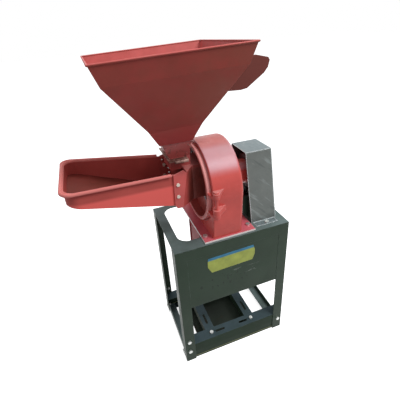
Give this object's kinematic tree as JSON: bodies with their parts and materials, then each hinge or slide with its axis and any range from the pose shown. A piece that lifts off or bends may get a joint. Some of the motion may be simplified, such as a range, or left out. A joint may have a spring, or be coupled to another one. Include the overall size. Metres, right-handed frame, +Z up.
{
  "type": "disc mill",
  "caption": "Grain disc mill with a swinging door, feed tray and hopper, set on an open sheet-metal stand with a belt guard and motor rails.",
  "frame": {"origin": "on the floor, under the middle of the whole machine's bounding box", "axes": "+X along the shaft towards the pulley and belt guard, +Y from the front to the back, +Z up"},
  "size_m": [0.6797, 0.3898, 1.0962],
  "materials": {
    "stand_paint": "satin",
    "guard_paint": "satin",
    "red_paint": "gloss",
    "hopper_paint": "gloss",
    "zinc": "satin",
    "steel": "satin",
    "iron": "matte",
    "gate_steel": "satin",
    "seal_rubber": "matte",
    "sticker_film": "satin"
  },
  "bodies": {
    "stand": {"front_panel": "stand_paint", "back_frame": "stand_paint", "top_plate": "stand_paint", "bottom_rail_front": "stand_paint", "bottom_rail_back": "stand_paint", "side_rail_left": "stand_paint", "side_rail_right": "stand_paint", "bottom_plate": "stand_paint", "stand_bolts": "zinc", "sticker": "sticker_film", "belt_guard": "guard_paint", "guard_bolts": "zinc", "base_plate": "red_paint", "base_bolts": "zinc", "discharge_chute": "red_paint", "housing": "red_paint", "hinge_pin": "red_paint", "swing_pin": "steel", "bearing_housing": "red_paint", "bearing_housing_bolts": "zinc", "bearing_outer_rings": "steel", "bearing_cap": "red_paint", "bearing_cap_screws": "zinc", "shaft_seal": "seal_rubber", "ring_sieve": "steel", "sieve_end_rings": "steel"},
    "door": {"door": "red_paint", "fixed_disc": "iron", "fixed_disc_screws": "zinc", "fixed_pins": "steel", "feed_box": "red_paint", "feed_box_bolts": "zinc", "hopper": "hopper_paint", "side_scoop": "hopper_paint", "feed_tray": "hopper_paint", "tray_bolts": "zinc"},
    "rotor": {"shaft": "steel", "rotor_disc": "iron", "rotor_claws": "steel", "rotor_nut": "steel", "pulley": "iron", "pulley_nut": "steel", "bearing_inner_rings": "steel"},
    "gate": {"slide_gate": "gate_steel"},
    "rail_left": {"motor_rail_left": "stand_paint", "motor_rail_left_bolts": "zinc"},
    "rail_right": {"motor_rail_right": "stand_paint", "motor_rail_right_bolts": "zinc"},
    "clamp_bolt": {"swing_bolt": "steel"},
    "clamp_ring": {"clamp_washer": "zinc"},
    "clamp_nut": {"hand_nut": "iron"}
  },
  "joints": [
    {"name": "shaft_spin", "type": "hinge", "parent": "stand", "child": "rotor", "pos_m": [0.19075, 0, 0.6742], "axis": [1, 0, 0], "continuous": true},
    {"name": "door_swing", "type": "hinge", "parent": "stand", "child": "door", "pos_m": [0.06715, -0.1545, 0.6742], "axis": [0, 0, 1], "range_deg": [0, 100]},
    {"name": "gate_slide", "type": "slide", "parent": "door", "child": "gate", "axis": [0, -1, 0], "range_m": [0, 0.1]},
    {"name": "rail_slide_left", "type": "slide", "parent": "stand", "child": "rail_left", "axis": [1, 0, 0], "range_m": [-0.004, 0.05]},
    {"name": "rail_slide_right", "type": "slide", "parent": "stand", "child": "rail_right", "axis": [1, 0, 0], "range_m": [-0.048, 0.003]},
    {"name": "clamp_swing", "type": "hinge", "parent": "stand", "child": "clamp_bolt", "pos_m": [0.09075, 0.158, 0.6742], "axis": [0, 0, 1], "range_deg": [0, 180]},
    {"name": "nut_travel", "type": "slide", "parent": "clamp_bolt", "child": "clamp_ring", "axis": [1, 0, 0], "range_m": [-0.0037, 0.003]},
    {"name": "nut_spin", "type": "hinge", "parent": "clamp_ring", "child": "clamp_nut", "pos_m": [0.14475, 0.158, 0.6742], "axis": [1, 0, 0], "range_deg": [-885, 715]}
  ],
  "couplings": [
    {"joint": "nut_travel", "follows": "nut_spin", "m_per_rad": 0.00023873}
  ]
}
